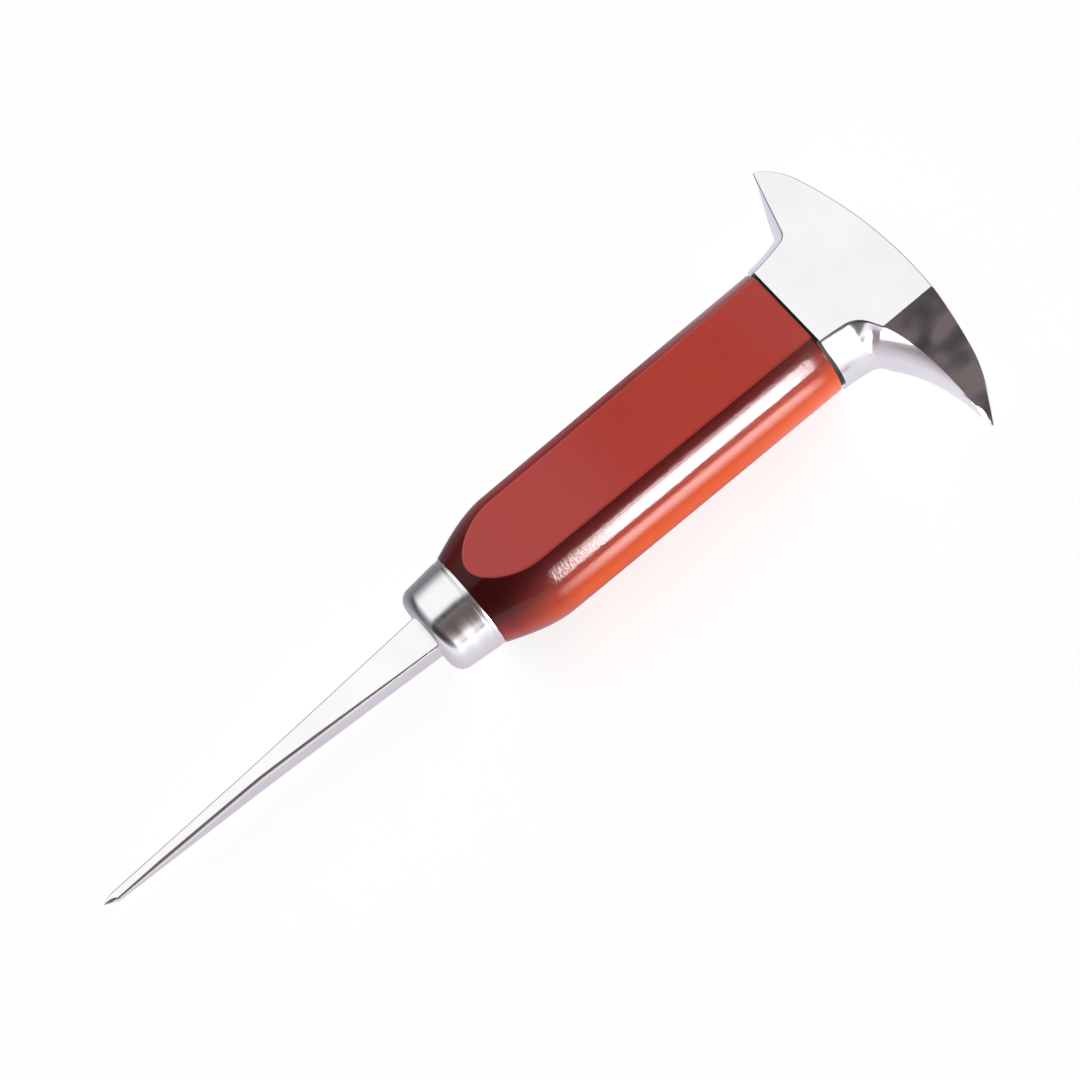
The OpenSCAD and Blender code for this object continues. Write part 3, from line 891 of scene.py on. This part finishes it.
def soft_glow(name, color, strength, fades):
    """A glow that fades at its edges.

    For an axis, a fade has the places where the glow starts, is full, begins to fall and
    ends.
    """
    material, light = glow(name, color, strength)
    nodes, links = material.node_tree.nodes, material.node_tree.links
    at = place_of(nodes, links)
    power = strength
    for axis, (start, full, fall, end) in fades.items():
        rise = remap(nodes, links, at[axis], start, full)
        drop = remap(nodes, links, at[axis], fall, end, 1.0, 0.0)
        power = maths(nodes, links, "MULTIPLY", maths(nodes, links, "MULTIPLY", rise, drop),
                      power)
    links.new(power, light.inputs["Strength"])
    return material


ONLY_MIRRORED = ("camera", "diffuse", "shadow")

STRIP_STRENGTH = 62.0
STRIP_ASIDE = 0.25                               # metres from the axis, on the beak's side
STRIP_FADES = {"X": (-0.014, 0.014, 0.064, 0.074),
               "Z": (-0.001, 0.0004, 0.070, 0.122)}
HEAD_CARD_ASIDE = 0.10
HEAD_CARD_SPAN = (0.0445, 0.150)                 # along the tool
HEAD_CARD_TOP = 0.120
FLOOR_CARD_STRENGTH = 13.0
FLOOR_CARD_FADES = {"X": (-0.028, -0.010, 0.0345, 0.0395),
                    "Y": (-0.066, -0.052, -0.038, -0.026)}


def upright_card(name, aside, x_from, x_to, top, material):
    """A card that stands beside the tool, on the beak's side."""
    centre = Vector(((x_from + x_to) / 2, -aside, (CARD_FOOT + top) / 2))
    plane(name, centre, X, Z, x_to - x_from, top - CARD_FOOT, material, ONLY_MIRRORED)


def strip_light():
    """A long strip light beside the tool that only its polish shows."""
    material = soft_glow("strip_light", (1.0, 0.99, 1.0), STRIP_STRENGTH, STRIP_FADES)
    x_from, _, _, x_to = STRIP_FADES["X"]
    upright_card("strip_light", STRIP_ASIDE, x_from, x_to, STRIP_FADES["Z"][3], material)


def head_card():
    """A pale card near the head, which fills the round of its neck and the beak's hollow."""
    material = glow("head_card", (0.92, 0.91, 0.95), 1.0)[0]
    upright_card("head_card", HEAD_CARD_ASIDE, *HEAD_CARD_SPAN, HEAD_CARD_TOP, material)


def floor_card():
    """A bright patch of floor below the strip light."""
    material = soft_glow("floor_card", (1.0, 0.93, 0.94), FLOOR_CARD_STRENGTH,
                         FLOOR_CARD_FADES)
    x_from, _, _, x_to = FLOOR_CARD_FADES["X"]
    y_from, _, _, y_to = FLOOR_CARD_FADES["Y"]
    centre = Vector(((x_from + x_to) / 2, (y_from + y_to) / 2, CARD_FOOT))
    plane("floor_card", centre, X, Y, x_to - x_from, y_to - y_from, material, ONLY_MIRRORED)


# Brightness of the studio above the floor: round the tool's axis, from the floor on the side
# away from the beak over the top to the floor on the beak's side, and along the axis.
STUDIO_ROUND = [(0.00, (0.20, 0.20, 0.22)), (0.08, (0.40, 0.39, 0.42)),
                (0.17, (0.95, 0.95, 0.95)), (0.21, (1.0, 1.0, 1.0)),
                (0.505, (1.0, 1.0, 1.0)), (0.54, (0.035, 0.036, 0.046)),
                (0.582, (0.038, 0.037, 0.046)), (0.614, (0.20, 0.16, 0.155)),
                (0.65, (0.15, 0.11, 0.108)), (0.70, (0.12, 0.085, 0.085)),
                (0.79, (0.13, 0.09, 0.09)), (0.87, (0.20, 0.155, 0.15)),
                (0.93, (0.62, 0.60, 0.64)), (1.00, (0.84, 0.83, 0.87))]
STUDIO_ALONG = [(0.00, (0.20, 0.20, 0.22)), (0.18, (0.25, 0.25, 0.27)),
                (0.36, (1.0, 1.0, 1.0)), (0.66, (1.0, 1.0, 1.0)),
                (0.80, (0.25, 0.25, 0.27)), (1.00, (0.20, 0.20, 0.22))]
STUDIO_STRENGTH = 1.05


def studio():
    """The studio round the tool, as a world of two ramps that multiply."""
    world = bpy.data.worlds.new("studio")
    world.use_nodes = True
    bpy.context.scene.world = world
    nodes, links = world.node_tree.nodes, world.node_tree.links
    towards = place_of(nodes, links, "Generated")
    beside = maths(nodes, links, "MULTIPLY", towards["Y"], -1.0)
    parts = []
    for side, stops in ((beside, STUDIO_ROUND), (towards["X"], STUDIO_ALONG)):
        angle = maths(nodes, links, "ARCTAN2", side, towards["Z"])
        share = remap(nodes, links, angle, -math.pi / 2, math.pi / 2)
        parts.append(ramp_of(nodes, links, share, stops, "LINEAR"))
    background = nodes["Background"]
    links.new(mix_colors(nodes, links, 1.0, *parts, blend="MULTIPLY"),
              background.inputs["Color"])
    background.inputs["Strength"].default_value = STUDIO_STRENGTH


def make_stage():
    """Floors for the camera, for the polish and for the bounced light, and the lights."""
    for name, drop, material, hidden_from in (
            ("floor", 0, white_floor(), ("diffuse", "glossy")),
            ("mirrored_floor", MIRROR_DROP, mirrored_floor(), ("camera", "diffuse")),
            ("bounce_floor", BOUNCE_DROP,
             glow("bounce_floor", (1.0, 0.95, 0.93), BOUNCE_STRENGTH)[0],
             ("camera", "glossy"))):
        plane(name, CENTRE - drop * Z, X, Y, FLOOR_SIZE, FLOOR_SIZE, material, hidden_from)
    strip_light()
    head_card()
    floor_card()
    studio()
    bpy.context.scene.view_settings.view_transform = "Standard"


make_stage()
